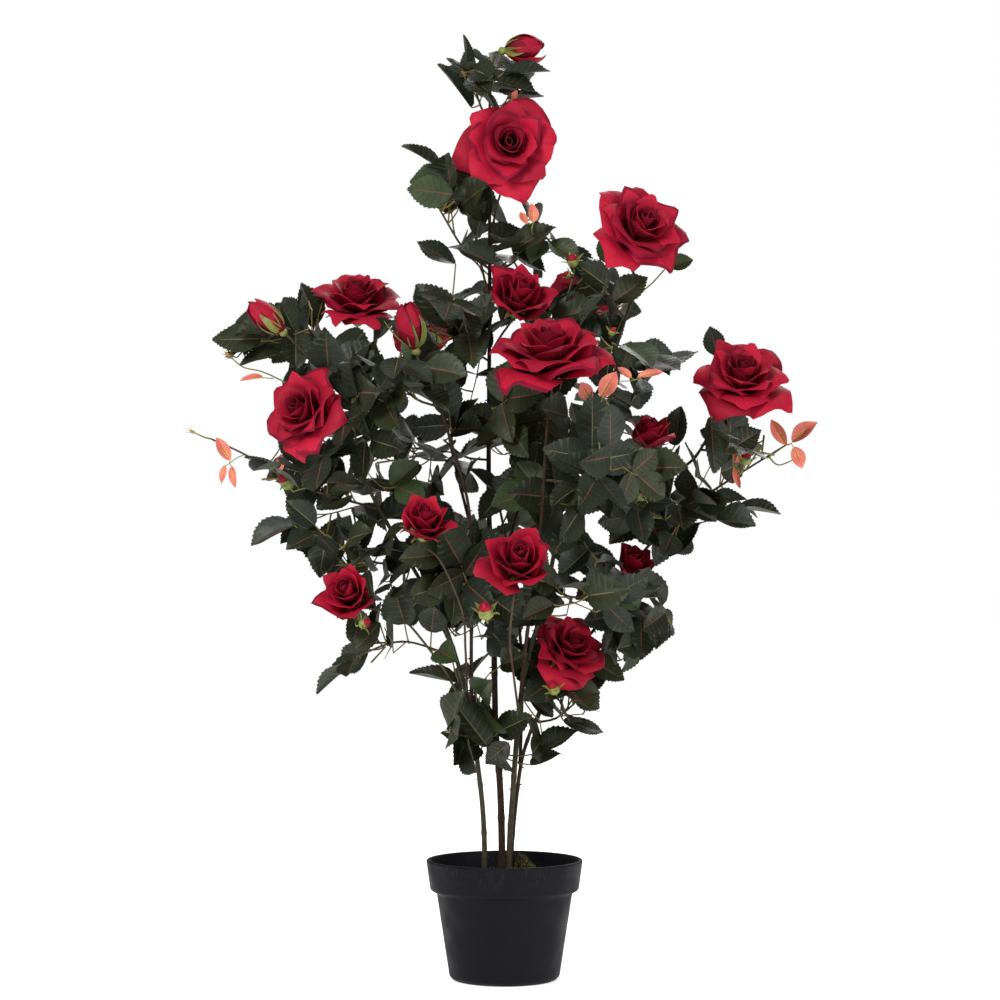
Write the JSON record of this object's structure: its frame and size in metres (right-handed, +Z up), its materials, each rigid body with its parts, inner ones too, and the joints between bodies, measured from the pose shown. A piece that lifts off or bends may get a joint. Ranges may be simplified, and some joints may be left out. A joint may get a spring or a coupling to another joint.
{
  "type": "artificial rose bush in a pot",
  "caption": "Artificial rose bush in a plain tapered plastic pot: slender branching canes, open red roses and buds, and loose sprays of leaflets.",
  "frame": {"origin": "centre of the pot's flat underside", "axes": "+Z up along the pot's axis, -Y towards the front that the picture shows, +X to the right"},
  "size_m": [0.6898, 0.5654, 1.0858],
  "materials": {
    "pot": "black moulded plastic, satin",
    "filling": "dry mossy soil over a weighted core",
    "canes": "dark brown moulded bark",
    "petals": "red dyed cloth petals",
    "leaves": "dark green coated cloth leaves"
  },
  "bodies": {
    "root": {"pot": "pot", "filling": "filling", "centre_cane": "canes", "left_cane": "canes", "right_cane": "canes", "rear_cane": "canes", "upper_left_bough": "canes", "bud_bough": "canes", "rose_bough": "canes", "right_bough": "canes", "far_right_bough": "canes", "back_left_bough": "canes", "back_right_bough": "canes", "back_low_bough": "canes", "top_bud": "petals", "top_rose": "petals", "upper_right_rose": "petals", "right_rose": "petals", "upper_centre_rose": "petals", "centre_rose": "petals", "upper_left_rose": "petals", "left_rose": "petals", "left_bud": "petals", "inner_bud": "petals", "small_rose": "petals", "middle_rose": "petals", "left_low_rose": "petals", "low_right_rose": "petals", "half_open_rose": "petals", "dim_rose": "petals", "back_top_rose": "petals", "back_left_rose": "petals", "back_right_rose": "petals", "top_spray": "leaves", "upper_left_spray": "leaves", "upper_right_spray": "leaves", "right_shoulder": "leaves", "right_upper": "leaves", "right_rose_leaves": "leaves", "far_right_twig": "leaves", "right_middle": "leaves", "right_low": "leaves", "low_right_spray": "leaves", "foot_leaves": "leaves", "low_left_spray": "leaves", "left_low": "leaves", "far_left_twig": "leaves", "left_middle": "leaves", "left_bud_leaves": "leaves", "upper_left_middle": "leaves", "centre_left_upper": "leaves", "centre_left": "leaves", "centre": "leaves", "centre_right": "leaves", "centre_low_left": "leaves", "centre_low_right": "leaves", "back_upper": "leaves", "back_left": "leaves", "back_right": "leaves", "back_low": "leaves"}
  },
  "joints": []
}
